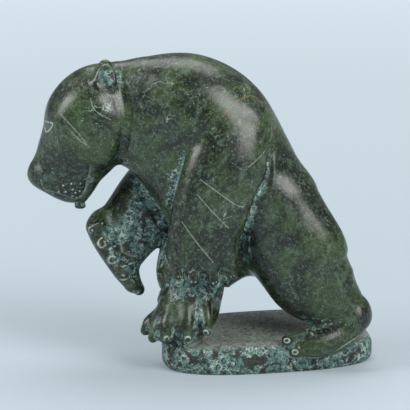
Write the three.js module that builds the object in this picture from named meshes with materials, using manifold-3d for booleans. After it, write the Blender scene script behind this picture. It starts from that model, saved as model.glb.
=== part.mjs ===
// Soapstone bear carving: a bear walking upright on its hind legs, head bowed and far
// forepaw raised, cut together with its low rock base from one block of dark green stone.
// Millimetres, +Z up.  The bear faces -X and its near side is towards -Y.
//
// The stone is one smooth skin.  Every limb is a chain of round stations, the limbs melt
// into one another over a set blend, and the skin is laid where the distance to them is nil.
import * as THREE from 'three';
import { mergeVertices } from 'three/addons/utils/BufferGeometryUtils.js';
import Module from 'manifold-3d';

// ---- driving dimensions ------------------------------------------------------------

const CELL = 2.4;                 // spacing of the net that the skin is laid on
const TRIANGLES = 9300;           // left once the skin is thinned
const NODE = 'bear_on_rock_base';

// rock base: a rounded slab, turned so that its right end lies further back
const BASE_LENGTH = 139;
const BASE_WIDTH = 67;
const BASE_TURN = THREE.MathUtils.degToRad(13);
const BASE_CENTRE = [43, -1];
const BASE_FRONT_HEIGHT = 20;
const BASE_BACK_RISE = 7;         // the top climbs this much from front to back
const BASE_HEEL_FALL = 3;         // and drops this much under the rear heel
const BASE_EDGE = 9;              // rounding of the top and bottom edges
const BASE_ROUNDNESS = 2.6;       // 2 is an ellipse, larger is boxier

// a station is [x, y, z, radius seen from the side, half width across]
const TORSO = [
  [-50, 0, 166, 33, 17.5],
  [-33, 0, 167.5, 35, 24.5],
  [-8.5, 0, 167.5, 36.5, 33],
  [11.5, 0, 159, 33.5, 35],
  [26.5, 0, 135.5, 32, 34],
  [39.5, 2, 107, 32.5, 33],
  [52, 4, 81.5, 30, 31],
];
const CHEST = [
  [-36, -1, 154, 22, 20],
  [-22.5, -3, 135, 22, 22],
  [-7.5, -4, 113, 21, 22],
  [3.5, -4, 92, 21, 22],
];
const CRANIUM = [
  [-54, -1, 167.5, 31, 16],
  [-65.5, -1, 166, 31.5, 20],
  [-73.5, -1, 160, 29, 21],
  [-79.5, -1, 149, 24.5, 20],
  [-86, -1, 134.5, 22, 17.5],
  [-89, -1, 126.5, 20, 15.5],
];
const CHEEK = [
  [-72.5, -1, 160, 25.5, 24.5],
  [-73, -1, 154, 24, 24.5],
];
const JAW = [
  [-63, -1, 140.5, 11.5, 16],
  [-69, -1, 134.5, 11.5, 15],
];
const NOSE = [
  [-102, -1, 124.5, 10.5, 10.5],
];
const LIPS = [
  [-88, -1, 118, 13, 13.5],
];
const CHIN = [
  [-67.5, -1, 129.5, 5.5, 11],
  [-72, -1, 118, 4, 8.5],
  [-76.5, -1, 109.5, 2.7, 6],
];
const TONGUE = [
  [-80.4, -1, 104.2, 2.2, 3.5],
  [-77.4, -1, 104.2, 2.2, 3.5],
];
const NEAR_EAR = [
  [-62, -14, 188.5, 9, 5],
  [-61.8, -12.5, 194, 6.8, 4.5],
  [-61.8, -9.5, 197.5, 4.7, 4],
];
const NEAR_EAR_HOLLOW = [
  [-61.5, -20.5, 189.5, 6.5, 5],
  [-60.5, -18, 194.8, 4.4, 4.6],
];
const FAR_EAR = [
  [-63, 12, 186, 8, 4.5],
  [-62.5, 10.5, 189.5, 6, 4],
  [-62, 9, 191.5, 4, 3.5],
];
const FAR_EAR_HOLLOW = [
  [-61, 18, 187, 5.5, 4.5],
  [-61, 15.5, 190.5, 3.5, 4],
];
const NEAR_ARM = [
  [24, -12, 158.5, 22, 18],
  [16, -22, 139.5, 26, 18],
  [10, -26, 120.5, 26, 17],
  [4.5, -28, 103, 24.5, 15.5],
  [1, -30, 93, 22.5, 13],
];
const NEAR_PAW = [
  [-13.5, -32, 79, 9.5, 8.5],
  [-0.5, -34, 79, 11.5, 9.5],
  [12.5, -33, 79.5, 10.5, 8.5],
];
const FAR_ARM = [
  [7, 13, 150, 22, 18],
  [-12, 17, 130.5, 22, 17],
  [-30.5, 16, 109, 22.5, 15],
  [-42, 10, 94, 22, 12],
  [-53.5, 4, 79.5, 21, 9],
];
const PALM = [
  [-65.5, 4, 92, 8, 9],
  [-58, 3, 77.5, 8.5, 9],
  [-50, 3, 63, 8, 9],
  [-43, 3, 51, 4, 7],
];
const RAISED_PAW = [
  [-69, 0, 89.5, 6.3, 7.5],
  [-64.5, -1.5, 80.5, 6.2, 7.5],
  [-58.3, -2, 70.5, 6.2, 7.5],
  [-52, -2, 60.5, 5.8, 7.5],
  [-46, -2, 52.5, 5, 6.5],
  [-40.8, -2, 48, 3.8, 5],
];
const NEAR_HIND_LEG = [
  [54, -9, 109.5, 22, 22],
  [62.5, -15, 81, 30, 20],
  [70, -16, 61.5, 29, 19],
  [83, -16, 47.5, 23, 17],
  [97, -16, 37, 13, 13],
];
const NEAR_HIND_FOOT = [
  [101, -16, 33, 9, 13],
  [90.5, -19, 24, 11, 14],
  [76, -24, 19, 10, 14],
  [62, -27, 16.5, 7, 11],
];
const FAR_HIND_LEG = [
  [39.5, 12, 88, 26, 18],
  [11, 8, 72.5, 24.5, 20],
  [-4.5, 2, 61, 25, 20],
  [-6, -4, 47, 20, 18],
  [-9, -10, 38, 19.5, 17],
];
const FAR_HIND_FOOT = [
  [-9, -10, 38, 19, 17],
  [-13.5, -18, 31, 15.5, 16.5],
  [-21, -20, 28.5, 12, 13],
];

// toes: [root, middle, tip] or [root, tip] of each, with one radius and half width a paw
const FAR_HIND_TOES = { radius: 3.8, width: 3.8, lines: [
  [[-30, -14, 33], [-34, -17, 30], [-36.5, -18, 24.5]],
  [[-25.5, -20, 36], [-28.5, -26, 31], [-31.5, -29, 22.5]],
  [[-20, -24, 41], [-21.5, -30, 34], [-23, -33.5, 24.5]],
  [[-9, -25, 43], [-9, -31.5, 35], [-9, -35.5, 25]],
  [[2.5, -23, 42.5], [3.5, -28, 36.5], [3.5, -31, 28]],
] };
const NEAR_HIND_TOES = { radius: 3.8, width: 4, lines: [
  [[70, -30, 25], [55, -31, 21.5]],
  [[73, -32, 17], [60.5, -34, 14.5]],
] };
const NEAR_PAW_TOES = { radius: 4.2, width: 5, lines: [
  [[-15.5, -35, 78], [-15, -37.5, 67]],
  [[-5.5, -36, 76], [-5, -38.5, 63.5]],
  [[7, -36, 76], [7.5, -38.5, 63]],
  [[18, -34.5, 78], [19.5, -37, 67.5]],
] };
const RAISED_PAW_TOES = { radius: 3.4, width: 5, lines: [
  [[-65.5, -4, 92.5], [-70.5, -3.5, 89.5]],
  [[-60, -5, 84], [-65.5, -4.5, 80.5]],
  [[-53.5, -5, 73.5], [-59, -4.5, 70]],
  [[-47.5, -5, 63], [-52.5, -4.5, 59.5]],
  [[-43, -5, 53], [-46, -4.5, 50.5]],
] };

// planes that flatten a form: a point on the plane and the side that is cut away
const LIP_LINE = { point: [-95, 0, 109.5], away: [-0.42, 0, -0.91] };
const PALM_FACE = { point: [-61.5, 0, 65], away: [-0.83, 0, -0.56] };

// how far two forms melt into each other where they meet
const MELT = {
  chest: 12, cheek: 8, jaw: 7, nose: 8, lips: 6, lipLine: 7, chin: 3, tongue: 2,
  ear: 3, earHollow: 1.5, head: 3,
  palm: 5, palmFace: 5, raisedPaw: 3, raisedPawToes: 3, raisedArm: 4,
  nearPaw: 6, nearPawToes: 3, hangingArm: 4,
  nearHindLeg: 10, farHindLeg: 8, farHindToes: 4, farHindFoot: 6, nearHindToes: 2, nearHindFoot: 5,
  rockBase: 3,
};

// ---- distances ---------------------------------------------------------------------

const FAR = 60;                   // distance reported by a limb that is out of reach
const REACH = 22;

function union(a, b, blend) {
  const overlap = Math.max(blend - Math.abs(a - b), 0) / blend;
  return Math.min(a, b) - overlap * overlap * blend / 4;
}

function cut(a, b, blend) {
  return -union(-a, b, blend);
}

// A limb runs through its stations as a smooth curve.  Its section is a superellipse:
// square 2 is an ellipse, larger is flatter on the sides.
class Limb {
  constructor(stations, square = 2) {
    const [only] = stations;
    const rows = stations.length > 1 ? stations : [only, only.with(0, only[0] + 0.01)];
    this.square = square;
    this.spans = rows.slice(1).map((end, i) => this.span(rows, i));
    this.steps = [];
    for (let t = 0; t <= this.spans.length * 4; t++) {
      this.steps.push(this.at(t / 4));
    }
    this.low = [0, 1, 2].map(k => Math.min(...this.steps.map(s => s[k] - Math.max(s[3], s[4]))) - REACH);
    this.high = [0, 1, 2].map(k => Math.max(...this.steps.map(s => s[k] + Math.max(s[3], s[4]))) + REACH);
  }

  // cubic coefficients of one span, for x, y, z, radius and half width
  span(rows, i) {
    const b = rows[i];
    const c = rows[i + 1];
    return b.map((value, k) => {
      const before = i > 0 ? rows[i - 1][k] : 2 * value - c[k];
      const after = i + 2 < rows.length ? rows[i + 2][k] : 2 * c[k] - value;
      return [
        value,
        (c[k] - before) / 2,
        before - 2.5 * value + 2 * c[k] - after / 2,
        (after - before) / 2 + 1.5 * (value - c[k]),
      ];
    });
  }

  at(t) {
    const i = Math.min(Math.floor(t), this.spans.length - 1);
    const u = t - i;
    return this.spans[i].map(([a, b, c, d]) => ((d * u + c) * u + b) * u + a);
  }

  // where along the curve the point p is nearest
  nearest(p) {
    let best = Infinity;
    let along = 0;
    for (let i = 0; i + 1 < this.steps.length; i++) {
      const a = this.steps[i];
      const b = this.steps[i + 1];
      let dot = 0;
      let square = 0;
      for (let k = 0; k < 3; k++) {
        dot += (p[k] - a[k]) * (b[k] - a[k]);
        square += (b[k] - a[k]) ** 2;
      }
      const t = Math.min(Math.max(dot / Math.max(square, 1e-6), 0), 1);
      let distance = 0;
      for (let k = 0; k < 3; k++) {
        distance += (p[k] - a[k] - t * (b[k] - a[k])) ** 2;
      }
      if (distance < best) {
        best = distance;
        along = (i + t) / 4;
      }
    }
    for (let pass = 0; pass < 2; pass++) {
      along = this.refine(p, along);
    }
    return along;
  }

  refine(p, along) {
    const i = Math.min(Math.floor(along), this.spans.length - 1);
    const u = along - i;
    let slope = 0;
    let speed = 0;
    let bend = 0;
    for (let k = 0; k < 3; k++) {
      const [a, b, c, d] = this.spans[i][k];
      const gap = ((d * u + c) * u + b) * u + a - p[k];
      const velocity = (3 * d * u + 2 * c) * u + b;
      slope += gap * velocity;
      speed += velocity * velocity;
      bend += gap * (6 * d * u + 2 * c);
    }
    const step = slope / Math.max(speed + bend, 0.4 * speed);
    return Math.min(Math.max(along - step, 0), this.spans.length);
  }

  distance(p) {
    for (let k = 0; k < 3; k++) {
      if (p[k] < this.low[k] || p[k] > this.high[k]) {
        return FAR;
      }
    }
    const [x, y, z, radius, width] = this.at(this.nearest(p));
    const stretch = radius / width;
    const across = Math.abs(p[1] - y) * stretch + 1e-3;
    const inPlane = Math.max(Math.hypot(p[0] - x, p[2] - z), 1e-2);
    const n = this.square;
    const size = (inPlane ** n + across ** n) ** (1 / n);
    const slope = Math.hypot((inPlane / size) ** (n - 1), (across / size) ** (n - 1) * stretch);
    return Math.min((size - radius) / Math.max(slope, 0.3), FAR);
  }
}

function toeLimbs({ radius, width, lines }) {
  return lines.map(points => new Limb(points.map((point, i) => {
    const taper = i === points.length - 1 ? 0.85 : 1;
    return [...point, radius * taper, width * taper];
  })));
}

const torso = new Limb(TORSO);
const chest = new Limb(CHEST);
const cranium = new Limb(CRANIUM);
const cheek = new Limb(CHEEK, 3.2);
const jaw = new Limb(JAW);
const nose = new Limb(NOSE);
const lips = new Limb(LIPS);
const chin = new Limb(CHIN);
const tongue = new Limb(TONGUE);
const nearEar = new Limb(NEAR_EAR);
const nearEarHollow = new Limb(NEAR_EAR_HOLLOW);
const farEar = new Limb(FAR_EAR);
const farEarHollow = new Limb(FAR_EAR_HOLLOW);
const nearArm = new Limb(NEAR_ARM, 2.5);
const nearPaw = new Limb(NEAR_PAW);
const farArm = new Limb(FAR_ARM, 2.5);
const palm = new Limb(PALM);
const raisedPaw = new Limb(RAISED_PAW);
const nearHindLeg = new Limb(NEAR_HIND_LEG);
const nearHindFoot = new Limb(NEAR_HIND_FOOT);
const farHindLeg = new Limb(FAR_HIND_LEG);
const farHindFoot = new Limb(FAR_HIND_FOOT);
const farHindToes = toeLimbs(FAR_HIND_TOES);
const nearHindToes = toeLimbs(NEAR_HIND_TOES);
const nearPawToes = toeLimbs(NEAR_PAW_TOES);
const raisedPawToes = toeLimbs(RAISED_PAW_TOES);

function beyond(plane, p) {
  const { point, away } = plane;
  return away.reduce((sum, n, k) => sum + n * (point[k] - p[k]), 0) / Math.hypot(...away);
}

function withToes(paw, toes, p, blend) {
  return toes.reduce((d, toe) => union(d, toe.distance(p), blend), paw);
}

function head(p) {
  let d = union(cranium.distance(p), cheek.distance(p), MELT.cheek);
  d = union(d, jaw.distance(p), MELT.jaw);
  d = union(d, nose.distance(p), MELT.nose);
  d = union(d, lips.distance(p), MELT.lips);
  d = cut(d, beyond(LIP_LINE, p), MELT.lipLine);
  d = union(d, chin.distance(p), MELT.chin);
  d = union(d, tongue.distance(p), MELT.tongue);
  d = union(d, cut(nearEar.distance(p), nearEarHollow.distance(p), MELT.earHollow), MELT.ear);
  return union(d, cut(farEar.distance(p), farEarHollow.distance(p), MELT.earHollow), MELT.ear);
}

function raisedArm(p) {
  let d = union(farArm.distance(p), palm.distance(p), MELT.palm);
  d = cut(d, beyond(PALM_FACE, p), MELT.palmFace);
  d = union(d, raisedPaw.distance(p), MELT.raisedPaw);
  return withToes(d, raisedPawToes, p, MELT.raisedPawToes);
}

function hangingArm(p) {
  const d = union(nearArm.distance(p), nearPaw.distance(p), MELT.nearPaw);
  return withToes(d, nearPawToes, p, MELT.nearPawToes);
}

function rockBase([x, y, z]) {
  const dx = x - BASE_CENTRE[0];
  const dy = y - BASE_CENTRE[1];
  const along = dx * Math.cos(BASE_TURN) + dy * Math.sin(BASE_TURN);
  const across = dy * Math.cos(BASE_TURN) - dx * Math.sin(BASE_TURN);
  const halfWidth = BASE_WIDTH / 2;
  const rim = (Math.abs(2 * along / BASE_LENGTH) ** BASE_ROUNDNESS
    + Math.abs(across / halfWidth) ** BASE_ROUNDNESS) ** (1 / BASE_ROUNDNESS);
  const side = (rim - 1) * halfWidth + BASE_EDGE;
  const rise = BASE_BACK_RISE * THREE.MathUtils.clamp((across + 20) / 40, 0, 1);
  const fall = BASE_HEEL_FALL * THREE.MathUtils.clamp((along - 30) / 40, 0, 1);
  const top = z - (BASE_FRONT_HEIGHT + rise - fall) + BASE_EDGE;
  const bottom = -z + BASE_EDGE / 2;
  const level = Math.max(top, bottom);
  return Math.hypot(Math.max(side, 0), Math.max(level, 0)) + Math.min(Math.max(side, level), 0) - BASE_EDGE;
}

function carving(p) {
  let d = union(torso.distance(p), chest.distance(p), MELT.chest);
  d = union(d, head(p), MELT.head);
  d = union(d, raisedArm(p), MELT.raisedArm);
  d = union(d, nearHindLeg.distance(p), MELT.nearHindLeg);
  d = union(d, farHindLeg.distance(p), MELT.farHindLeg);
  d = union(d, hangingArm(p), MELT.hangingArm);
  d = union(d, withToes(farHindFoot.distance(p), farHindToes, p, MELT.farHindToes), MELT.farHindFoot);
  d = union(d, withToes(nearHindFoot.distance(p), nearHindToes, p, MELT.nearHindToes), MELT.nearHindFoot);
  return union(d, rockBase(p), MELT.rockBase);
}

// ---- skin --------------------------------------------------------------------------

const LOW = [-126, -56, -12];
const HIGH = [124, 50, 218];

const CORNERS = [0, 1, 2, 3, 4, 5, 6, 7].map(i => [i & 1, (i >> 1) & 1, i >> 2]);
const EDGES = [
  [0, 1], [2, 3], [4, 5], [6, 7], [0, 2], [1, 3], [4, 6], [5, 7], [0, 4], [1, 5], [2, 6], [3, 7],
];
const FACES = [[0, 1, 2, 3], [4, 5, 6, 7], [0, 1, 4, 5], [2, 3, 6, 7], [0, 2, 4, 6], [1, 3, 5, 7]];

// a cell is plain when the skin passes through it as one sheet
function isPlain(inside) {
  const sheets = [true, false].map(side => {
    const group = inside.map((value, i) => value === side ? i : -1);
    for (let pass = 0; pass < 3; pass++) {
      for (const [a, b] of EDGES) {
        if (inside[a] === side && inside[b] === side) {
          group[a] = group[b] = Math.min(group[a], group[b]);
        }
      }
    }
    return new Set(group.filter(g => g >= 0)).size;
  });
  const crossed = FACES.some(([a, b, c, d]) => inside[a] === inside[d] && inside[b] === inside[c]
    && inside[a] !== inside[b]);
  return Math.max(...sheets) <= 1 && !crossed;
}

class Net {
  constructor() {
    this.count = LOW.map((low, k) => Math.ceil((HIGH[k] - low) / CELL) + 1);
    const [nx, ny, nz] = this.count;
    this.values = new Float64Array(nx * ny * nz);
    // a value is also the way that can be skipped along the row before the skin is near
    let clear = 0;
    for (let i = 0; i < this.values.length; i++) {
      clear = i % nx === 0 ? 0 : clear - CELL;
      if (clear > 0) {
        this.values[i] = this.values[i - 1];
      } else {
        this.values[i] = carving(this.point(i));
        clear = Math.min(Math.abs(this.values[i]), REACH) / 1.4 - 2 * CELL;
      }
    }
    this.stride = [1, nx, nx * ny];
    this.corner = CORNERS.map(corner => corner.reduce((sum, value, k) => sum + value * this.stride[k], 0));
  }

  point(i) {
    const [nx, ny] = this.count;
    const steps = [i % nx, Math.floor(i / nx) % ny, Math.floor(i / (nx * ny))];
    return steps.map((step, k) => LOW[k] + step * CELL);
  }

  cells(visit) {
    const [nx, ny, nz] = this.count;
    for (let z = 0; z + 1 < nz; z++) {
      for (let y = 0; y + 1 < ny; y++) {
        for (let x = 0; x + 1 < nx; x++) {
          visit(x + nx * (y + ny * z));
        }
      }
    }
  }

  // fills every cell that two sheets would share, so that the skin never touches itself
  settle() {
    let filled = true;
    while (filled) {
      filled = false;
      this.cells(cell => {
        const inside = this.corner.map(offset => this.values[cell + offset] < 0);
        if (!isPlain(inside)) {
          filled = true;
          for (const offset of this.corner) {
            this.values[cell + offset] = Math.min(this.values[cell + offset], -CELL / 20);
          }
        }
      });
    }
  }

  // the mean of the places where the skin crosses the cell's edges
  crossing(cell) {
    const sum = [0, 0, 0];
    let crossings = 0;
    for (const [a, b] of EDGES) {
      const from = this.values[cell + this.corner[a]];
      const to = this.values[cell + this.corner[b]];
      if (from < 0 !== to < 0) {
        const share = from / (from - to);
        const start = this.point(cell + this.corner[a]);
        const end = this.point(cell + this.corner[b]);
        sum.forEach((value, k) => {
          sum[k] = value + start[k] + share * (end[k] - start[k]);
        });
        crossings++;
      }
    }
    return crossings ? sum.map(value => value / crossings) : null;
  }
}

// moves a point along the slope of the distance until it lies on the stone
function toSurface(point) {
  let p = point;
  const step = 0.2;
  for (let pass = 0; pass < 3; pass++) {
    const slope = p.map((value, k) => {
      return (carving(p.with(k, value + step)) - carving(p.with(k, value - step))) / (2 * step);
    });
    const steepness = Math.max(Math.hypot(...slope), 0.3);
    const move = THREE.MathUtils.clamp(carving(p) / steepness, -CELL / 4, CELL / 4);
    p = p.map((value, k) => value - move * slope[k] / steepness);
  }
  return p;
}

function apart(a, b) {
  return Math.hypot(a[0] - b[0], a[1] - b[1], a[2] - b[2]);
}

function skin() {
  const net = new Net();
  net.settle();
  const vertexOf = new Map();
  const vertices = [];
  net.cells(cell => {
    const point = net.crossing(cell);
    if (point) {
      vertexOf.set(cell, vertices.length);
      vertices.push(toSurface(point));
    }
  });
  // four cells meet round each edge of the net: one quad where the skin crosses that edge
  const triangles = [];
  net.cells(cell => {
    net.stride.forEach((step, axis) => {
      const inside = net.values[cell] < 0;
      if (inside === net.values[cell + step] < 0) {
        return;
      }
      const u = net.stride[(axis + 1) % 3];
      const v = net.stride[(axis + 2) % 3];
      const ring = [cell, cell - u, cell - u - v, cell - v].map(c => vertexOf.get(c));
      const [a, b, c, d] = inside ? ring : ring.reverse();
      if (apart(vertices[a], vertices[c]) < apart(vertices[b], vertices[d])) {
        triangles.push(a, b, c, a, c, d);
      } else {
        triangles.push(b, c, d, b, d, a);
      }
    });
  });
  return { vertices, triangles };
}

// ---- fewer triangles ---------------------------------------------------------------

// A quadric holds the squared distances to all the planes that met at a vertex.
function addPlane(quadric, normal, offset, weight) {
  const plane = [...normal, offset];
  let n = 0;
  for (let i = 0; i < 4; i++) {
    for (let j = i; j < 4; j++) {
      quadric[n] += weight * plane[i] * plane[j];
      n++;
    }
  }
}

function quadricError(a, b, p) {
  const point = [...p, 1];
  let n = 0;
  let error = 0;
  for (let i = 0; i < 4; i++) {
    for (let j = i; j < 4; j++) {
      error += (i === j ? 1 : 2) * (a[n] + b[n]) * point[i] * point[j];
      n++;
    }
  }
  return error;
}

function cross(a, b, c) {
  const u = b.map((value, k) => value - a[k]);
  const v = c.map((value, k) => value - a[k]);
  return [u[1] * v[2] - u[2] * v[1], u[2] * v[0] - u[0] * v[2], u[0] * v[1] - u[1] * v[0]];
}

function dot(a, b) {
  return a[0] * b[0] + a[1] * b[1] + a[2] * b[2];
}

class Queue {
  constructor() {
    this.items = [];
  }

  push(item) {
    const { items } = this;
    let i = items.length;
    items.push(item);
    while (i > 0 && items[(i - 1) >> 1].cost > item.cost) {
      items[i] = items[(i - 1) >> 1];
      i = (i - 1) >> 1;
    }
    items[i] = item;
  }

  pop() {
    const { items } = this;
    const first = items[0];
    const last = items.pop();
    let i = 0;
    while (2 * i + 1 < items.length) {
      let child = 2 * i + 1;
      if (child + 1 < items.length && items[child + 1].cost < items[child].cost) {
        child++;
      }
      if (items[child].cost >= last.cost) {
        break;
      }
      items[i] = items[child];
      i = child;
    }
    if (items.length) {
      items[i] = last;
    }
    return first;
  }
}

// Draws the edges that matter least to a point, one by one, until few triangles are left.
class Thinning {
  constructor(vertices, triangles) {
    this.vertices = vertices;
    this.faces = [];
    this.around = vertices.map(() => new Set());
    this.quadrics = vertices.map(() => new Float64Array(10));
    this.age = new Int32Array(vertices.length);
    for (let i = 0; i < triangles.length; i += 3) {
      const face = triangles.slice(i, i + 3);
      const normal = cross(...face.map(v => vertices[v]));
      const size = Math.max(Math.hypot(...normal), 1e-9);
      const unit = normal.map(value => value / size);
      for (const v of face) {
        this.around[v].add(this.faces.length);
        addPlane(this.quadrics[v], unit, -dot(unit, vertices[v]), size);
      }
      this.faces.push(face);
    }
    this.left = this.faces.length;
    this.queue = new Queue();
    vertices.forEach((_, v) => this.neighbours(v).forEach(w => v < w && this.offer(v, w)));
  }

  neighbours(v) {
    const found = new Set();
    this.around[v].forEach(f => this.faces[f].forEach(w => found.add(w)));
    found.delete(v);
    return found;
  }

  offer(a, b) {
    const from = this.vertices[a];
    const to = this.vertices[b];
    const middle = from.map((value, k) => (value + to[k]) / 2);
    const length = apart(from, to);
    let best = null;
    for (const point of [middle, from, to]) {
      const cost = quadricError(this.quadrics[a], this.quadrics[b], point) + 1e-4 * length ** 2;
      if (!best || cost < best.cost) {
        best = { cost, point, a, b, age: this.age[a] + this.age[b] };
      }
    }
    this.queue.push(best);
  }

  // no triangle round v may turn over when v moves to the point
  keepsFacing(v, gone, point) {
    for (const f of this.around[v]) {
      const face = this.faces[f];
      if (!face.includes(gone)) {
        const before = cross(...face.map(w => this.vertices[w]));
        const after = cross(...face.map(w => w === v ? point : this.vertices[w]));
        if (dot(before, after) < 0.3 * Math.hypot(...before) * Math.hypot(...after)) {
          return false;
        }
      }
    }
    return true;
  }

  collapse({ a, b, point }) {
    const shared = [...this.neighbours(a)].filter(v => this.neighbours(b).has(v));
    if (shared.length !== 2 || !this.keepsFacing(a, b, point) || !this.keepsFacing(b, a, point)) {
      return;
    }
    for (const f of [...this.around[b]]) {
      const face = this.faces[f];
      if (face.includes(a)) {
        face.forEach(v => this.around[v].delete(f));
        this.faces[f] = null;
        this.left--;
      } else {
        face[face.indexOf(b)] = a;
        this.around[a].add(f);
      }
    }
    this.around[b].clear();
    this.vertices[a] = point;
    this.quadrics[b].forEach((value, k) => {
      this.quadrics[a][k] += value;
    });
    this.age[a]++;
    this.age[b]++;
    this.neighbours(a).forEach(v => this.offer(a, v));
  }

  run(wanted) {
    while (this.left > wanted && this.queue.items.length) {
      const edge = this.queue.pop();
      if (edge.age === this.age[edge.a] + this.age[edge.b] && this.around[edge.b].size) {
        this.collapse(edge);
      }
    }
    return this.faces.filter(face => face);
  }
}

function thinned({ vertices, triangles }, wanted) {
  const thinning = new Thinning(vertices, triangles);
  const faces = thinning.run(wanted);
  const numbers = new Map();
  faces.flat().forEach(v => numbers.has(v) || numbers.set(v, numbers.size));
  return {
    vertices: [...numbers.keys()].map(v => thinning.vertices[v]),
    triangles: faces.flat().map(v => numbers.get(v)),
  };
}

// ---- the carving -------------------------------------------------------------------

const wasm = await Module();
wasm.setup();

function solid(vertices, triangles) {
  return new wasm.Manifold(new wasm.Mesh({
    numProp: 3,
    vertProperties: Float32Array.from(vertices.flat()),
    triVerts: Uint32Array.from(triangles),
  }));
}

// everything below the ground, to saw the underside flat
function ground() {
  const box = new THREE.BoxGeometry(400, 300, 100).translate(0, 0, -50);
  box.deleteAttribute('normal');
  box.deleteAttribute('uv');
  const { attributes, index } = mergeVertices(box);
  return solid([...attributes.position.array], [...index.array]);
}

function carvedStone() {
  const { vertices, triangles } = thinned(skin(), TRIANGLES);
  const mesh = solid(vertices, triangles).subtract(ground()).getMesh();
  const geometry = new THREE.BufferGeometry();
  geometry.setAttribute('position', new THREE.BufferAttribute(Float32Array.from(mesh.vertProperties), 3));
  geometry.setIndex(new THREE.BufferAttribute(Uint32Array.from(mesh.triVerts), 1));
  geometry.computeBoundingBox();
  const middle = geometry.boundingBox.getCenter(new THREE.Vector3());
  geometry.translate(-middle.x, -middle.y, 0);
  geometry.computeVertexNormals();
  return geometry;
}

const stone = new THREE.MeshStandardMaterial({ color: 0x2f3b30, roughness: 0.3, metalness: 0 });
const bear = new THREE.Mesh(carvedStone(), stone);
bear.name = NODE;

const group = new THREE.Group();
group.add(bear);

export default group;
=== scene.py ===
import math
from collections import namedtuple

import bmesh
import bpy
import numpy as np
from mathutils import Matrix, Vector


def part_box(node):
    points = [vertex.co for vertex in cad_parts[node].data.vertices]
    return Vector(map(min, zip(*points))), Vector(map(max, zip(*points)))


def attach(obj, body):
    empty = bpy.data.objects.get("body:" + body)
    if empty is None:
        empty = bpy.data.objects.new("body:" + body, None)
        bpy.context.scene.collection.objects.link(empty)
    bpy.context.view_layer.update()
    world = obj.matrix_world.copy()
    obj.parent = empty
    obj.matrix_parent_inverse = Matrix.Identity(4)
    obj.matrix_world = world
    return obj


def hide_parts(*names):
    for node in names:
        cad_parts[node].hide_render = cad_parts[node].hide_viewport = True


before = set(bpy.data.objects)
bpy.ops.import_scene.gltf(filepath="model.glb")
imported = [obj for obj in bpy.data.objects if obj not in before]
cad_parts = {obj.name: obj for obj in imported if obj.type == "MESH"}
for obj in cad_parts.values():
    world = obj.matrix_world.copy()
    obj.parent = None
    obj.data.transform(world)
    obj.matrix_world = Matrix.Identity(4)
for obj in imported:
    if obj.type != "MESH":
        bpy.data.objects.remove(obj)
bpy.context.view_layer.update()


# ---- Bear and rock, roughed out of one block ---------------------------------------
# The bear walks upright with its head bowed and its far forepaw raised.  It and the low
# rock under it are one piece of dark green stone, sawn flat underneath.  Each limb is a
# chain of round stations in millimetres: x, y, z, radius from the side, half width.

TORSO = [
    (-50, 0, 166, 33, 17.5), (-33, 0, 167.5, 35, 24.5), (-8.5, 0, 167.5, 36.5, 33),
    (11.5, 0, 159, 33.5, 35), (26.5, 0, 135.5, 32, 34), (39.5, 2, 107, 32.5, 33),
    (52, 4, 81.5, 30, 31),
]
CHEST = [
    (-36, -1, 154, 22, 20), (-22.5, -3, 135, 22, 22), (-7.5, -4, 113, 21, 22),
    (3.5, -4, 92, 21, 22),
]
CRANIUM = [
    (-54, -1, 167.5, 31, 16), (-65.5, -1, 166, 31.5, 20), (-73.5, -1, 160, 29, 21),
    (-79.5, -1, 149, 24.5, 20), (-86, -1, 134.5, 22, 17.5), (-89, -1, 126.5, 20, 15.5),
]
CHEEK = [(-72.5, -1, 160, 25.5, 24.5), (-73, -1, 154, 24, 24.5)]
JAW = [(-63, -1, 140.5, 11.5, 16), (-69, -1, 134.5, 11.5, 15)]
NOSE = [(-102, -1, 124.5, 10.5, 10.5), (-101.9, -1, 124.5, 10.5, 10.5)]
LIPS = [(-88, -1, 118, 13, 13.5), (-87.9, -1, 118, 13, 13.5)]
CHIN = [(-67.5, -1, 129.5, 5.5, 11), (-72, -1, 118, 4, 8.5), (-76.5, -1, 109.5, 2.7, 6)]
TONGUE = [(-80.4, -1, 104.2, 2.2, 3.5), (-77.4, -1, 104.2, 2.2, 3.5)]
NEAR_EAR = [(-62, -14, 188.5, 9, 5), (-61.8, -12.5, 194, 6.8, 4.5), (-61.8, -9.5, 197.5, 4.7, 4)]
NEAR_EAR_HOLLOW = [(-61.5, -20.5, 189.5, 6.5, 5), (-60.5, -18, 194.8, 4.4, 4.6)]
FAR_EAR = [(-63, 12, 186, 8, 4.5), (-62.5, 10.5, 189.5, 6, 4), (-62, 9, 191.5, 4, 3.5)]
FAR_EAR_HOLLOW = [(-61, 18, 187, 5.5, 4.5), (-61, 15.5, 190.5, 3.5, 4)]
NEAR_ARM = [
    (24, -12, 158.5, 22, 18), (16, -22, 139.5, 26, 18), (10, -26, 120.5, 26, 17),
    (4.5, -28, 103, 24.5, 15.5), (1, -30, 93, 22.5, 13),
]
NEAR_PAW = [(-13.5, -32, 79, 9.5, 8.5), (-0.5, -34, 79, 11.5, 9.5), (12.5, -33, 79.5, 10.5, 8.5)]
FAR_ARM = [
    (7, 13, 150, 22, 18), (-12, 17, 130.5, 22, 17), (-30.5, 16, 109, 22.5, 15),
    (-42, 10, 94, 22, 12), (-53.5, 4, 79.5, 21, 9),
]
PALM = [(-65.5, 4, 92, 8, 9), (-58, 3, 77.5, 8.5, 9), (-50, 3, 63, 8, 9), (-43, 3, 51, 4, 7)]
RAISED_PAW = [
    (-69, 0, 89.5, 6.3, 7.5), (-64.5, -1.5, 80.5, 6.2, 7.5), (-58.3, -2, 70.5, 6.2, 7.5),
    (-52, -2, 60.5, 5.8, 7.5), (-46, -2, 52.5, 5, 6.5), (-40.8, -2, 48, 3.8, 5),
]
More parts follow.
